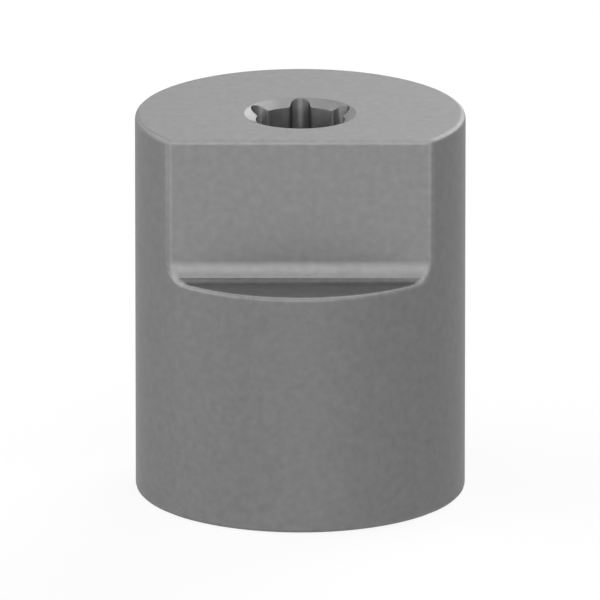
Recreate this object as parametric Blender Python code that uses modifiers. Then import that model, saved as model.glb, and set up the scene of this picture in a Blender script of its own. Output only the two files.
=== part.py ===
"""Dental scan body in one piece, turned and milled from titanium alloy bar.

It screws onto a screw-retained abutment with a driver in its top socket. +Z runs up the screw
axis, the origin is the centre of the flat seat ring that it stands on, and the milled
orientation flat faces -Y. Sizes are in metres.
"""
import math

import bmesh
import bpy
from mathutils import Matrix, Vector

# Turned body
BODY_DIAMETER = 0.0052
BODY_HEIGHT = 0.00612
RIM_BREAK = 0.00008

# Milled orientation flat, with the cutter's corner radius left at its foot
FLAT_FROM_AXIS = 0.00156
FLAT_LENGTH = 0.00226
FLAT_FILLET = 0.00030
FLAT_EDGE_BREAK = 0.00008

# Six-lobed drive socket: round-ended lobes that stand out from a round core
LOBES = 6
ACROSS_LOBES = 0.00175
LOBE_HEIGHT = 0.000175
LOBE_RADIUS = 0.000155
LOBE_CORNER = 0.00006
LOBE_DEPTH = 0.0012

# Pilot hole and countersink of the socket
PILOT_WALL = 0.00003
PILOT_PAST_LOBES = 0.00015
PILOT_POINT_ANGLE = math.radians(118)
COUNTERSINK_RIM = 0.00001
COUNTERSINK_ANGLE = math.radians(120)

# Conical seat for the abutment, open at the base
SEAT_RING_WIDTH = 0.0006
SEAT_DEPTH = 0.0024
SEAT_ROOF_WIDTH = 0.00043
SEAT_MOUTH_BREAK = 0.0001

# Threaded stud inside the seat, at its thread's outer diameter
STUD_DIAMETER = 0.0014
STUD_TIP_SETBACK = 0.0002
STUD_TIP_CHAMFER = 0.0002
STUD_ROOT_FILLET = 0.00012

# Smoothness of the round forms
BODY_STEPS = 96
SOCKET_STEPS = 72
BREAK_SEGMENTS = 3
BREAK_ROOM = 1.5
FILLET_SEGMENTS = 8
LOBE_SEGMENTS = 10
CORNER_SEGMENTS = 4
CORE_SEGMENTS = 6
SHARP_ANGLE = math.radians(20)
FLAT_ANGLE = math.radians(0.5)

# How far a cutter stands clear of the surface it breaks through, and what counts as touching
CUT_MARGIN = 0.0003
MERGE_DISTANCE = 0.000001
PLACE_TOLERANCE = 0.000005

# Blasted titanium
TITANIUM_COLOUR = (0.25, 0.246, 0.25, 1.0)
TITANIUM_ROUGHNESS = 0.5

BODY_RADIUS = BODY_DIAMETER / 2
CORE_RADIUS = ACROSS_LOBES / 2 - LOBE_HEIGHT
SHELF_HEIGHT = BODY_HEIGHT - FLAT_LENGTH


def clear_scene():
    """Removes whatever the open scene holds."""
    for old in list(bpy.data.objects):
        bpy.data.objects.remove(old, do_unlink=True)


def new_collection(name):
    collection = bpy.data.collections.new(name)
    bpy.context.scene.collection.children.link(collection)
    return collection


def titanium():
    """Matt grey metal of a grit-blasted titanium surface."""
    material = bpy.data.materials.new("blasted_titanium")
    material.use_nodes = True
    shader = material.node_tree.nodes["Principled BSDF"]
    shader.inputs["Base Color"].default_value = TITANIUM_COLOUR
    shader.inputs["Metallic"].default_value = 1.0
    shader.inputs["Roughness"].default_value = TITANIUM_ROUGHNESS
    return material


def arc(centre, radius, start, end, segments):
    """Points of an arc in the plane, from one angle to another, ends included."""
    points = []
    for step in range(segments + 1):
        angle = start + (end - start) * step / segments
        points.append((centre[0] + radius * math.cos(angle), centre[1] + radius * math.sin(angle)))
    return points


def turned(name, profile, steps, collection):
    """Turns an (radius, height) profile, listed from the top down its outer side, about Z."""
    mesh = bpy.data.meshes.new(name)
    points = [(radius, 0.0, height) for radius, height in profile]
    edges = [(index, index + 1) for index in range(len(points) - 1)]
    mesh.from_pydata(points, edges, [])
    item = bpy.data.objects.new(name, mesh)
    collection.objects.link(item)
    screw = item.modifiers.new("Turn", "SCREW")
    screw.steps = steps
    screw.render_steps = steps
    screw.use_merge_vertices = True
    screw.merge_threshold = MERGE_DISTANCE
    return item


def bar(name, outline, half_length, placing, collection):
    """Extrudes a closed 2D outline both ways and places it, as a mesh ready for cutting."""
    curve = bpy.data.curves.new(name, "CURVE")
    curve.dimensions = "2D"
    curve.fill_mode = "BOTH"
    curve.extrude = half_length
    spline = curve.splines.new("POLY")
    spline.points.add(len(outline) - 1)
    for point, (across, up) in zip(spline.points, outline):
        point.co = (across, up, 0.0, 1.0)
    spline.use_cyclic_u = True
    drawn = bpy.data.objects.new(name, curve)
    collection.objects.link(drawn)
    graph = bpy.context.evaluated_depsgraph_get()
    mesh = bpy.data.meshes.new_from_object(drawn.evaluated_get(graph))
    bpy.data.objects.remove(drawn, do_unlink=True)
    bpy.data.curves.remove(curve)
    shape = bmesh.new()
    shape.from_mesh(mesh)
    bmesh.ops.remove_doubles(shape, verts=shape.verts, dist=MERGE_DISTANCE)
    bmesh.ops.recalc_face_normals(shape, faces=shape.faces)
    shape.to_mesh(mesh)
    shape.free()
    item = bpy.data.objects.new(name, mesh)
    item.matrix_world = placing
    collection.objects.link(item)
    return item


def as_cutter(item):
    item.hide_render = True
    item.display_type = "WIRE"
    return item


def cut(item, cutter):
    """Adds a Boolean that takes the cutter away from the item."""
    boolean = item.modifiers.new("Cut " + cutter.name, "BOOLEAN")
    boolean.operation = "DIFFERENCE"
    boolean.solver = "EXACT"
    boolean.object = cutter


def settle(item):
    """Bakes the item's modifiers into its mesh."""
    bpy.context.view_layer.update()
    graph = bpy.context.evaluated_depsgraph_get()
    baked = bpy.data.meshes.new_from_object(item.evaluated_get(graph))
    item.modifiers.clear()
    item.data = baked


def seat_profile():
    """Underside from the seat ring inwards: mouth, cone, roof, and the stud down to its tip."""
    mouth_radius = BODY_RADIUS - SEAT_RING_WIDTH
    stud_radius = STUD_DIAMETER / 2
    roof_radius = stud_radius + SEAT_ROOF_WIDTH
    root = (stud_radius + STUD_ROOT_FILLET, SEAT_DEPTH - STUD_ROOT_FILLET)
    profile = [
        (mouth_radius + SEAT_MOUTH_BREAK, 0.0),
        (mouth_radius, SEAT_MOUTH_BREAK),
        (roof_radius, SEAT_DEPTH),
    ]
    profile += arc(root, STUD_ROOT_FILLET, math.pi / 2, math.pi, FILLET_SEGMENTS)
    profile += [
        (stud_radius, STUD_TIP_SETBACK + STUD_TIP_CHAMFER),
        (stud_radius - STUD_TIP_CHAMFER, STUD_TIP_SETBACK),
        (0.0, STUD_TIP_SETBACK),
    ]
    return profile


def body_profile():
    """Half section of the turned blank, with its edges still sharp."""
    outside = [(0.0, BODY_HEIGHT), (BODY_RADIUS, BODY_HEIGHT), (BODY_RADIUS, 0.0)]
    return outside + seat_profile()


def flat_cutter(collection):
    """Block that mills the flat, the fillet at its foot and the shelf below it."""
    reach = BODY_RADIUS + CUT_MARGIN
    over_top = BODY_HEIGHT + CUT_MARGIN
    corner = (FLAT_FROM_AXIS + FLAT_FILLET, SHELF_HEIGHT + FLAT_FILLET)
    outline = arc(corner, FLAT_FILLET, math.pi, 1.5 * math.pi, FILLET_SEGMENTS)
    outline += [(reach, SHELF_HEIGHT), (reach, over_top), (FLAT_FROM_AXIS, over_top)]
    towards_front = Matrix(((0, 0, -1, 0), (-1, 0, 0, 0), (0, 1, 0, 0), (0, 0, 0, 1)))
    return as_cutter(bar("flat_cutter", outline, reach, towards_front, collection))


def lobed_outline():
    """Six round lobe tips, each joined to the round core by two corners; one points to the flat."""
    tip_reach = ACROSS_LOBES / 2 - LOBE_RADIUS
    corner_reach = CORE_RADIUS + LOBE_CORNER
    spread = LOBE_RADIUS + LOBE_CORNER
    aside = (tip_reach ** 2 + corner_reach ** 2 - spread ** 2) / (2 * tip_reach * corner_reach)
    corner_angle = math.acos(aside)
    tip = Vector((tip_reach, 0.0))
    corner = corner_reach * Vector((math.cos(corner_angle), math.sin(corner_angle)))
    tip_half_angle = math.atan2(corner.y - tip.y, corner.x - tip.x)
    pitch = 2 * math.pi / LOBES
    outline = []
    for lobe in range(LOBES):
        turn = pitch * lobe - math.pi / 2
        spin = Matrix.Rotation(turn, 2)
        before = spin @ Vector((corner.x, -corner.y))
        after = spin @ corner
        outline += arc(before, LOBE_CORNER, turn - corner_angle + math.pi,
                       turn - tip_half_angle + math.pi, CORNER_SEGMENTS)[:-1]
        outline += arc(spin @ tip, LOBE_RADIUS, turn - tip_half_angle,
                       turn + tip_half_angle, LOBE_SEGMENTS)
        outline += arc(after, LOBE_CORNER, turn + tip_half_angle - math.pi,
                       turn + corner_angle - math.pi, CORNER_SEGMENTS)[1:]
        outline += arc((0.0, 0.0), CORE_RADIUS, turn + corner_angle,
                       turn + pitch - corner_angle, CORE_SEGMENTS)[1:-1]
    return outline


def lobe_cutter(collection):
    """Six-lobed broach, from above the top face down to the socket's floor."""
    half_length = (LOBE_DEPTH + CUT_MARGIN) / 2
    middle = Vector((0.0, 0.0, BODY_HEIGHT - LOBE_DEPTH + half_length))
    placing = Matrix.Translation(middle)
    return as_cutter(bar("lobe_cutter", lobed_outline(), half_length, placing, collection))


def pilot_cutter(collection):
    """Step drill that makes the countersink and the pilot hole with its pointed floor."""
    rim_radius = ACROSS_LOBES / 2 + COUNTERSINK_RIM
    pilot_radius = CORE_RADIUS - PILOT_WALL
    fall = 1 / math.tan(COUNTERSINK_ANGLE / 2)
    pilot_floor = BODY_HEIGHT - LOBE_DEPTH - PILOT_PAST_LOBES
    point_depth = pilot_radius / math.tan(PILOT_POINT_ANGLE / 2)
    over_top = BODY_HEIGHT + CUT_MARGIN
    profile = [
        (0.0, over_top),
        (rim_radius + CUT_MARGIN / fall, over_top),
        (pilot_radius, BODY_HEIGHT - (rim_radius - pilot_radius) * fall),
        (pilot_radius, pilot_floor),
        (0.0, pilot_floor - point_depth),
    ]
    return as_cutter(turned("pilot_cutter", profile, SOCKET_STEPS, collection))


def near(value, target):
    return abs(value - target) < PLACE_TOLERANCE


def is_flat_outline(edge):
    """Edges where the flat, its fillet and its shelf run out through the round wall."""
    on_wall = all(near(math.hypot(v.co.x, v.co.y), BODY_RADIUS) for v in edge.verts)
    at_top = all(near(v.co.z, BODY_HEIGHT) for v in edge.verts)
    at_base = all(near(v.co.z, 0.0) for v in edge.verts)
    return on_wall and not at_top and not at_base


def is_rim(edge):
    """Edges round the top face, its flat side included, and round the outside of the base."""
    at_top = all(near(v.co.z, BODY_HEIGHT) for v in edge.verts)
    at_base = all(near(v.co.z, 0.0) for v in edge.verts)
    on_wall = all(near(math.hypot(v.co.x, v.co.y), BODY_RADIUS) for v in edge.verts)
    return at_top or (at_base and on_wall)


def tidy_faces(shape):
    """Welds coincident points and joins faces that lie in one plane."""
    bmesh.ops.remove_doubles(shape, verts=shape.verts, dist=MERGE_DISTANCE)
    bmesh.ops.dissolve_limit(shape, angle_limit=FLAT_ANGLE, verts=shape.verts, edges=shape.edges)


def is_upright(edge):
    low, high = edge.verts
    return near(low.co.x, high.co.x) and near(low.co.y, high.co.y)


def pick(shape, wanted):
    return [edge for edge in shape.edges if edge.calc_face_angle() > SHARP_ANGLE and wanted(edge)]


def clear_beside(shape, wanted, room):
    """Joins the round wall's facets whose seam leaves an upright chosen edge too little room."""
    posts = [edge.verts[0].co.xy for edge in pick(shape, wanted) if is_upright(edge)]
    crowded = []
    for edge in shape.edges:
        if not is_upright(edge) or edge.calc_face_angle() > SHARP_ANGLE:
            continue
        if any((edge.verts[0].co.xy - post).length < room for post in posts):
            crowded.append(edge)
    bmesh.ops.dissolve_edges(shape, edges=crowded, use_verts=True)


def break_edges(item, wanted, size):
    """Rounds the sharp edges that wanted picks."""
    shape = bmesh.new()
    shape.from_mesh(item.data)
    tidy_faces(shape)
    clear_beside(shape, wanted, BREAK_ROOM * size)
    bmesh.ops.bevel(shape, geom=pick(shape, wanted), offset=size, offset_type="OFFSET",
                    segments=BREAK_SEGMENTS, profile=0.5, affect="EDGES", clamp_overlap=False)
    shape.to_mesh(item.data)
    shape.free()


def finish(item, material):
    """Tidies the cut faces, gives them their material and shades the round ones smooth."""
    shape = bmesh.new()
    shape.from_mesh(item.data)
    tidy_faces(shape)
    shape.to_mesh(item.data)
    shape.free()
    item.data.materials.clear()
    item.data.materials.append(material)
    item.data.shade_smooth()
    item.data.set_sharp_from_angle(angle=SHARP_ANGLE)


def main():
    clear_scene()
    parts = new_collection("dental_scan_body")
    cutters = new_collection("cutters")
    body = turned("scan_body", body_profile(), BODY_STEPS, parts)
    cut(body, flat_cutter(cutters))
    settle(body)
    break_edges(body, is_flat_outline, FLAT_EDGE_BREAK)
    break_edges(body, is_rim, RIM_BREAK)
    cut(body, pilot_cutter(cutters))
    cut(body, lobe_cutter(cutters))
    settle(body)
    finish(body, titanium())


main()
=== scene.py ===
"""Looks of the one-piece dental scan body: blasted titanium in soft light on a plain pale floor."""

import math

import bmesh
import bpy
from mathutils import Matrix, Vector


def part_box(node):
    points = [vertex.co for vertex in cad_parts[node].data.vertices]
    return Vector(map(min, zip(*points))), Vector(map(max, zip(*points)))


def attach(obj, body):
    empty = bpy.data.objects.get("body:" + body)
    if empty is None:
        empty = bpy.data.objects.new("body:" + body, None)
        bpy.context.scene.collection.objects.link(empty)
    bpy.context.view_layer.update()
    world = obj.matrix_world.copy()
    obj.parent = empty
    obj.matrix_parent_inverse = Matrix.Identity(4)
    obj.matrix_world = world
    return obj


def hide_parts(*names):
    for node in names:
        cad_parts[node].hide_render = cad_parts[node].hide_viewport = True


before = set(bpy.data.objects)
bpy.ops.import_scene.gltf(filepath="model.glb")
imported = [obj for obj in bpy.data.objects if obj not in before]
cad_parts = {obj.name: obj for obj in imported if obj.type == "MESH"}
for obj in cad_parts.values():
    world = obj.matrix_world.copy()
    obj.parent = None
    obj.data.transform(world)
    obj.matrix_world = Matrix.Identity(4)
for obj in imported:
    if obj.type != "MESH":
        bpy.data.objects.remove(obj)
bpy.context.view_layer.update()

# Camera: long lens from far off, looking along +Y and down on the top face
VIEW_ELEVATION = math.radians(16.6)
VIEW_WIDTH = 0.009456
VIEW_RIGHT = -0.0000046
VIEW_UP = -0.0000071
CAMERA_DISTANCE = 0.31
SENSOR_WIDTH = 36.0
CLIP_START = 0.0005
CLIP_END = 10

BODY_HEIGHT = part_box("scan_body")[1][2]
BODY_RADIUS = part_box("scan_body")[1][0]

# Blasted titanium. The turned wall is a little darker than the flat and the top face
METAL_COLOUR = (0.22, 0.2165, 0.22)
EDGE_TINT = (0.83, 0.83, 0.83, 1.0)
WALL_SHADE = 0.815
WALL_BLEND = 0.00002
ROUGHNESS = 0.5
ROUGHNESS_SPREAD = 0.1

# The socket: its countersink and, below that cone, the smoother walls of the bore, darkened with painted
# shade
COUNTERSINK_RADIUS = 0.000885
COUNTERSINK_HALF_ANGLE = math.radians(60)
COUNTERSINK_ROUGHNESS = 0.44
BORE_ROUGHNESS = 0.3
BORE_PAINTED_SHADE = 0.88
BORE_BLEND = 0.000005
SOCKET_BLEND_LOW = 0.00001
SOCKET_BLEND_HIGH = 0.000002

# The metal's grain: fine blotches, wider patches that vary the gloss and a painted edge highlight, and pits.
# Noise lies round its middle
NOISE_MIDDLE = 0.5
GRAIN_SIZE = 0.00013
GRAIN_DETAIL = 1.0
FLAT_GRAIN = 0.27
FINE_GRAIN = 0.26
PATCH_SIZE = 0.00026
PATCH_DETAIL = 2.0
# Painted highlight on the rounded edges: its strength, and how far the wider patches vary it
PAINTED_EDGE_HIGHLIGHT = 0.07
PAINTED_HIGHLIGHT_SPREAD = 0.2
HIGHLIGHT_PATCH_LOW = 0.3
HIGHLIGHT_PATCH_HIGH = 0.7
PIT_SIZE = 0.000022
PIT_DETAIL = 3.0
PIT_DEPTH = 0.0000025

# Thread of the stud, M1.4 x 0.3. The groove's half widths at its mouth and root are shares of the pitch
THREAD_DIAMETER = 0.0014
THREAD_PITCH = 0.0003
THREAD_HALF_ANGLE = math.radians(30)
THREAD_HALF_MOUTH = 7 / 16
THREAD_HALF_ROOT = 1 / 8
THREAD_CLEAR = 0.00002
THREAD_START = 0.00005
THREAD_END = 0.0022
THREAD_STEPS = 48
THREAD_RUNOUT = 0.5

# Mesh clean-up: points that are one, faces that are one, and the edges that the blasting softened
WELD = 0.0000001
SAME_PLANE = math.radians(0.3)
SHARP = math.radians(28)
EDGE_SOFTNESS = 0.000012
EDGE_SEGMENTS = 2

# The turned wall: how near its points lie, how upright its facets are, and what faces out beside it
WALL_REACH = 0.000006
WALL_TILT = 0.1
EDGE_FACING = 0.8

# What gets no painted edge highlight: the socket, the seat in the base, the flat's fillet and the flat faces
SOCKET_REACH = 0.00095
SEAT_REACH = 0.0021
FLAT_FROM_AXIS = 0.00156
FLAT_FILLET = 0.0003
SHELF_HEIGHT = 0.00386
SAME_FACING = 0.995

# Square soft lamps that stand round the object and face it: degrees to the right of the camera,
# degrees above the floor, and brightness, where 1 is as bright as white
LAMP_DISTANCE = 0.15
LAMP_SIDE = 0.125
LAMPS = {
    "front": (0, 24, 1.45),
    "right": (60, 50, 0.87),
    "front_left": (-60, 24, 1.0),
    "left": (-90, 24, 1.57),
    "back_left": (-120, 24, 0.52),
    "back_right": (150, 30, 2.3),
    "overhead": (0, 90, 0.5),
}

# The floor. Where it is seen, directly or in the metal, it adds a white of its own to the light on it
FLOOR_WHITE = 0.85
FLOOR_LIT = 0.21
FLOOR_COLOUR = 0.8
FLOOR_SIDE = 0.6
FLOOR_HEIGHT = -0.000005


def node(tree, kind, **settings):
    """Adds a shader node and sets its own properties."""
    made = tree.nodes.new("ShaderNode" + kind)
    for name, value in settings.items():
        setattr(made, name, value)
    return made


def ramp(tree, value, low, high, at_low, at_high):
    """Goes smoothly from at_low to at_high as the value goes from low to high."""
    made = node(tree, "MapRange", interpolation_type="SMOOTHSTEP")
    for slot, number in zip(("From Min", "From Max", "To Min", "To Max"), (low, high, at_low, at_high)):
        made.inputs[slot].default_value = number
    tree.links.new(value, made.inputs["Value"])
    return made.outputs["Result"]


def combine(tree, operation, first, second):
    """Joins two sockets, or a socket and a number, by one sum."""
    made = node(tree, "Math", operation=operation)
    for slot, term in zip(made.inputs, (first, second)):
        if isinstance(term, (int, float)):
            slot.default_value = term
        else:
            tree.links.new(term, slot)
    return made.outputs["Value"]


def grain(tree, place, size, detail):
    """Noise whose blotches are about as wide as the size."""
    made = node(tree, "TexNoise")
    made.inputs["Scale"].default_value = 1 / size
    made.inputs["Detail"].default_value = detail
    tree.links.new(place, made.inputs["Vector"])
    return made.outputs["Fac"]


def blasted_titanium():
    """Grey blasted titanium: darker on the turned wall, smoother in the socket, with painted shade in the
    bore and a painted highlight on rounded edges.
    """
    material = bpy.data.materials.new("blasted_titanium_fine")
    material.use_nodes = True
    tree = material.node_tree
    shader = tree.nodes["Principled BSDF"]
    shader.inputs["Metallic"].default_value = 1.0
    shader.inputs["Specular Tint"].default_value = EDGE_TINT
    place = node(tree, "TexCoord").outputs["Object"]
    level = node(tree, "VectorMath", operation="MULTIPLY")
    level.inputs[1].default_value = (1.0, 1.0, 0.0)
    tree.links.new(place, level.inputs[0])
    reach = node(tree, "VectorMath", operation="LENGTH")
    tree.links.new(level.outputs["Vector"], reach.inputs[0])
    radius = reach.outputs["Value"]
    height = node(tree, "SeparateXYZ")
    tree.links.new(place, height.inputs["Vector"])
    height = height.outputs["Z"]

    on_wall = ramp(tree, radius, BODY_RADIUS - 2 * WALL_BLEND, BODY_RADIUS - WALL_BLEND, 0.0, 1.0)
    on_top = ramp(tree, height, BODY_HEIGHT - 2 * WALL_BLEND, BODY_HEIGHT - WALL_BLEND, 0.0, 1.0)
    on_wall = combine(tree, "MULTIPLY", on_wall, combine(tree, "SUBTRACT", 1.0, on_top))
    fine_face = combine(tree, "MAXIMUM", on_wall, on_top)
    in_socket = ramp(tree, radius, COUNTERSINK_RADIUS, COUNTERSINK_RADIUS + WALL_BLEND, 1.0, 0.0)
    above_seat = ramp(tree, height, BODY_HEIGHT / 2, BODY_HEIGHT / 2 + WALL_BLEND, 0.0, 1.0)
    below_top = ramp(tree, height, BODY_HEIGHT - SOCKET_BLEND_LOW, BODY_HEIGHT - SOCKET_BLEND_HIGH, 1.0, 0.0)
    in_socket = combine(tree, "MULTIPLY", combine(tree, "MULTIPLY", in_socket, above_seat), below_top)
    cone_drop = combine(tree, "MULTIPLY", combine(tree, "SUBTRACT", COUNTERSINK_RADIUS, radius),
                        1 / math.tan(COUNTERSINK_HALF_ANGLE))
    past_cone = combine(tree, "SUBTRACT", combine(tree, "SUBTRACT", BODY_HEIGHT, height), cone_drop)
    below_cone = ramp(tree, past_cone, BORE_BLEND, 2 * BORE_BLEND, 0.0, 1.0)
    in_bore = combine(tree, "MULTIPLY", in_socket, below_cone)
    in_cone = combine(tree, "SUBTRACT", in_socket, in_bore)

    blotch = combine(tree, "SUBTRACT", grain(tree, place, GRAIN_SIZE, GRAIN_DETAIL), NOISE_MIDDLE)
    depth = ramp(tree, fine_face, 0.0, 1.0, FLAT_GRAIN, FINE_GRAIN)
    shade = combine(tree, "ADD", combine(tree, "MULTIPLY", blotch, depth), 1.0)
    shade = combine(tree, "MULTIPLY", shade, ramp(tree, on_wall, 0.0, 1.0, 1.0, WALL_SHADE))
    # Painted shade: the bore's walls are darkened as if shade fell inside the socket
    shade = combine(tree, "MULTIPLY", shade, ramp(tree, in_bore, 0.0, 1.0, 1.0, BORE_PAINTED_SHADE))
    patch = grain(tree, place, PATCH_SIZE, PATCH_DETAIL)
    # Painted highlight: the rounded edges are brightened, more in some patches than in others
    highlit = node(tree, "Attribute", attribute_name="highlit_edge")
    glint = ramp(tree, patch, HIGHLIGHT_PATCH_LOW, HIGHLIGHT_PATCH_HIGH, 1 - PAINTED_HIGHLIGHT_SPREAD, 1 + PAINTED_HIGHLIGHT_SPREAD)
    glint = combine(tree, "MULTIPLY", combine(tree, "MULTIPLY", highlit.outputs["Fac"], PAINTED_EDGE_HIGHLIGHT), glint)
    shade = combine(tree, "MULTIPLY", shade, combine(tree, "ADD", glint, 1.0))
    colour = node(tree, "VectorMath", operation="SCALE")
    colour.inputs[0].default_value = METAL_COLOUR
    tree.links.new(shade, colour.inputs["Scale"])
    tree.links.new(colour.outputs["Vector"], shader.inputs["Base Color"])

    matt = combine(tree, "MULTIPLY", combine(tree, "SUBTRACT", patch, NOISE_MIDDLE), ROUGHNESS_SPREAD)
    matt = combine(tree, "ADD", matt, ramp(tree, in_cone, 0.0, 1.0, ROUGHNESS, COUNTERSINK_ROUGHNESS))
    matt = combine(tree, "ADD", matt, ramp(tree, in_bore, 0.0, 1.0, 0.0, BORE_ROUGHNESS - ROUGHNESS))
    tree.links.new(matt, shader.inputs["Roughness"])

    bump = node(tree, "Bump")
    bump.inputs["Distance"].default_value = PIT_DEPTH
    tree.links.new(grain(tree, place, PIT_SIZE, PIT_DETAIL), bump.inputs["Height"])
    tree.links.new(bump.outputs["Normal"], shader.inputs["Normal"])
    return material


def thread_cutter():
    """Helical V groove of the stud's thread, running out into its root."""
    stud_radius = THREAD_DIAMETER / 2
    outer = stud_radius + THREAD_CLEAR
    half_mouth = THREAD_PITCH * THREAD_HALF_MOUTH + THREAD_CLEAR * math.tan(THREAD_HALF_ANGLE)
    half_root = THREAD_PITCH * THREAD_HALF_ROOT
    depth = (half_mouth - half_root) / math.tan(THREAD_HALF_ANGLE)
    steps = round((THREAD_END - THREAD_START) / THREAD_PITCH * THREAD_STEPS)
    mesh = bmesh.new()
    rings = []
    for step in range(steps + 1):
        angle = 2 * math.pi * step / THREAD_STEPS
        middle = THREAD_START + THREAD_PITCH * step / THREAD_STEPS
        left = (steps - step) / THREAD_STEPS
        lift = depth * max(0.0, 1 - left / THREAD_RUNOUT)
        section = [
            (outer + lift, middle - half_mouth),
            (outer + lift, middle + half_mouth),
            (outer - depth + lift, middle + half_root),
            (outer - depth + lift, middle - half_root),
        ]
        rings.append([mesh.verts.new((reach * math.cos(angle), reach * math.sin(angle), height))
                      for reach, height in section])
    for ring, following in zip(rings, rings[1:]):
        for side, corner in enumerate(ring):
            after = (side + 1) % len(ring)
            mesh.faces.new((corner, ring[after], following[after], following[side]))
    mesh.faces.new(rings[0])
    mesh.faces.new(rings[-1])
    bmesh.ops.recalc_face_normals(mesh, faces=mesh.faces)
    data = bpy.data.meshes.new("thread_cutter")
    mesh.to_mesh(data)
    mesh.free()
    cutter = bpy.data.objects.new("thread_cutter", data)
    bpy.context.scene.collection.objects.link(cutter)
    return cutter


def reach_of(place):
    """Distance from the turning axis."""
    return math.hypot(place.x, place.y)


def true_wall(data):
    """Puts each point that lies almost on the turned wall exactly on its cylinder."""
    for point in data.vertices:
        reach = reach_of(point.co)
        if reach > BODY_RADIUS - WALL_REACH:
            point.co.x *= BODY_RADIUS / reach
            point.co.y *= BODY_RADIUS / reach


def is_wall(data, face):
    """Whether a face is a facet of the turned wall, however wide."""
    if abs(face.normal.z) > WALL_TILT:
        return False
    return all(reach_of(data.vertices[point].co) > BODY_RADIUS - WELD for point in face.vertices)


def round_wall(data):
    """Gives the corners on the turned wall the normals of a true cylinder, as far as its rounded edges."""
    normals = [corner.vector.copy() for corner in data.corner_normals]
    wall_points = {point for face in data.polygons if is_wall(data, face) for point in face.vertices}
    for face in data.polygons:
        for corner in face.loop_indices:
            point = data.loops[corner].vertex_index
            if point not in wall_points:
                continue
            place = data.vertices[point].co
            outward = Vector((place.x, place.y, 0.0)).normalized()
            if is_wall(data, face) or face.normal.dot(outward) > EDGE_FACING:
                normals[corner] = outward
    data.normals_split_custom_set(normals)


def is_highlit_edge(data, face):
    """Whether a face belongs to the narrow rounded edges round the top, the base, the flat and its shelf."""
    centre, normal = face.center, face.normal
    outward = Vector((centre.x, centre.y, 0.0))
    reach = outward.length
    if is_wall(data, face) or reach < SOCKET_REACH or (reach < SEAT_REACH and centre.z < SHELF_HEIGHT):
        return False
    facing = max(abs(normal.z), -normal.y, normal.dot(outward) / reach)
    in_fillet = (SHELF_HEIGHT < centre.z < SHELF_HEIGHT + FLAT_FILLET
                 and FLAT_FROM_AXIS < -centre.y < FLAT_FROM_AXIS + FLAT_FILLET
                 and normal.y ** 2 + normal.z ** 2 > SAME_FACING)
    return facing < SAME_FACING and not in_fillet


def mark_highlit_edges(data):
    """Writes the attribute by which the metal gets a painted highlight on its rounded edges."""
    marks = data.attributes.new("highlit_edge", "FLOAT", "FACE")
    for face, mark in zip(data.polygons, marks.data):
        mark.value = 1.0 if is_highlit_edge(data, face) else 0.0


def fine_body(solid):
    """The CAD solid with its stud's thread cut and its last sharp edges softened by the blasting."""
    data = solid.data.copy()
    data.name = "blasted_body"
    shape = bmesh.new()
    shape.from_mesh(data)
    bmesh.ops.remove_doubles(shape, verts=shape.verts, dist=WELD)
    bmesh.ops.dissolve_limit(shape, angle_limit=SAME_PLANE, verts=shape.verts, edges=shape.edges)
    shape.to_mesh(data)
    shape.free()
    data.materials.clear()
    item = bpy.data.objects.new("blasted_body", data)
    bpy.context.scene.collection.objects.link(item)
    cutter = thread_cutter()
    groove = item.modifiers.new("Thread", "BOOLEAN")
    groove.operation = "DIFFERENCE"
    groove.solver = "EXACT"
    groove.object = cutter
    soften = item.modifiers.new("Soft edges", "BEVEL")
    soften.limit_method = "ANGLE"
    soften.angle_limit = SHARP
    soften.width = EDGE_SOFTNESS
    soften.segments = EDGE_SEGMENTS
    bpy.context.view_layer.update()
    graph = bpy.context.evaluated_depsgraph_get()
    item.data = bpy.data.meshes.new_from_object(item.evaluated_get(graph))
    item.modifiers.clear()
    bpy.data.objects.remove(cutter)
    true_wall(item.data)
    item.data.shade_smooth()
    item.data.set_sharp_from_angle(angle=SHARP)
    weigh = item.modifiers.new("Even faces", "WEIGHTED_NORMAL")
    weigh.keep_sharp = True
    graph = bpy.context.evaluated_depsgraph_get()
    weighed = bpy.data.meshes.new_from_object(item.evaluated_get(graph))
    item.modifiers.clear()
    item.data = weighed
    round_wall(weighed)
    mark_highlit_edges(weighed)
    return item


def seen(tree):
    """One for what the camera sees, directly or in metal or glass, and nought for other light."""
    path = node(tree, "LightPath")
    camera_or_glossy = combine(tree, "MAXIMUM", path.outputs["Is Camera Ray"], path.outputs["Is Glossy Ray"])
    return combine(tree, "MAXIMUM", camera_or_glossy, path.outputs["Is Transmission Ray"])


def pale_floor():
    """Plain pale floor that reads as the photo's white and still takes the object's shadow."""
    material = bpy.data.materials.new("pale_floor")
    material.use_nodes = True
    tree = material.node_tree
    tree.nodes.clear()
    lit = node(tree, "BsdfDiffuse")
    lit.inputs["Color"].default_value = (FLOOR_COLOUR, FLOOR_COLOUR, FLOOR_COLOUR, 1.0)
    faint = node(tree, "BsdfDiffuse")
    faint.inputs["Color"].default_value = (FLOOR_LIT, FLOOR_LIT, FLOOR_LIT, 1.0)
    white = node(tree, "Emission")
    white.inputs["Strength"].default_value = FLOOR_WHITE
    looked_at = node(tree, "AddShader")
    tree.links.new(faint.outputs["BSDF"], looked_at.inputs[0])
    tree.links.new(white.outputs["Emission"], looked_at.inputs[1])
    mix = node(tree, "MixShader")
    tree.links.new(seen(tree), mix.inputs["Fac"])
    tree.links.new(lit.outputs["BSDF"], mix.inputs[1])
    tree.links.new(looked_at.outputs["Shader"], mix.inputs[2])
    tree.links.new(mix.outputs["Shader"], node(tree, "OutputMaterial").inputs["Surface"])
    bpy.ops.mesh.primitive_plane_add(size=FLOOR_SIDE, location=(0, 0, FLOOR_HEIGHT))
    floor = bpy.context.object
    floor.name = "floor"
    floor.data.materials.append(material)


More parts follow.
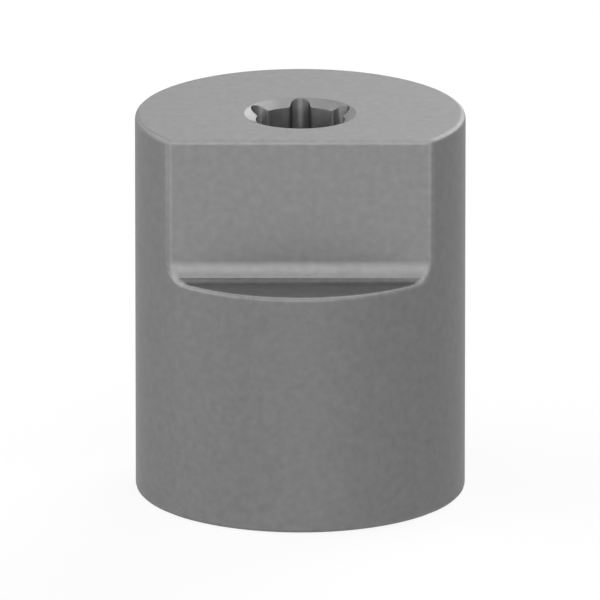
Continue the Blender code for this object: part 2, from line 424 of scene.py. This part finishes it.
def aim(thing, target):
    """Turns a lamp to face a point."""
    direction = Vector(target) - thing.location
    thing.rotation_euler = direction.to_track_quat("-Z", "Y").to_euler()


def add_camera():
    """Camera at the photo's angle, on the middle of the body."""
    data = bpy.data.cameras.new("camera")
    data.sensor_width = SENSOR_WIDTH
    data.lens = SENSOR_WIDTH * CAMERA_DISTANCE / VIEW_WIDTH
    data.clip_start = CLIP_START
    data.clip_end = CLIP_END
    camera = bpy.data.objects.new("camera", data)
    bpy.context.scene.collection.objects.link(camera)
    cosine, sine = math.cos(VIEW_ELEVATION), math.sin(VIEW_ELEVATION)
    up = Vector((0, sine, cosine))
    back = Vector((0, -cosine, sine))
    middle = Vector((VIEW_RIGHT, 0, BODY_HEIGHT / 2)) + VIEW_UP * up
    camera.location = middle + CAMERA_DISTANCE * back
    camera.rotation_euler = (math.pi / 2 - VIEW_ELEVATION, 0, 0)
    bpy.context.scene.camera = camera


def add_lamps():
    """The soft lamps, whose strength gives each its brightness over its own area."""
    for name, (right, above, brightness) in LAMPS.items():
        data = bpy.data.lights.new(name, "AREA")
        data.shape = "SQUARE"
        data.size = LAMP_SIDE
        data.energy = brightness * math.pi * LAMP_SIDE ** 2
        lamp = bpy.data.objects.new(name, data)
        bpy.context.scene.collection.objects.link(lamp)
        turn, lift = math.radians(right), math.radians(above)
        lamp.location = LAMP_DISTANCE * Vector((math.sin(turn) * math.cos(lift),
                                                -math.cos(turn) * math.cos(lift), math.sin(lift)))
        aim(lamp, (0, 0, BODY_HEIGHT / 2))


def add_world():
    """White wherever it is seen, directly or in the metal. It lights nothing else."""
    world = bpy.data.worlds.new("studio")
    world.use_nodes = True
    tree = world.node_tree
    background = tree.nodes["Background"]
    background.inputs["Color"].default_value = (1.0, 1.0, 1.0, 1.0)
    tree.links.new(seen(tree), background.inputs["Strength"])
    world.cycles.sampling_method = "NONE"
    bpy.context.scene.world = world


body = fine_body(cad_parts["scan_body"])
body.data.materials.append(blasted_titanium())
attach(body, "root")
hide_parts("scan_body")
pale_floor()
add_camera()
add_lamps()
add_world()
bpy.context.scene.view_settings.view_transform = "Standard"
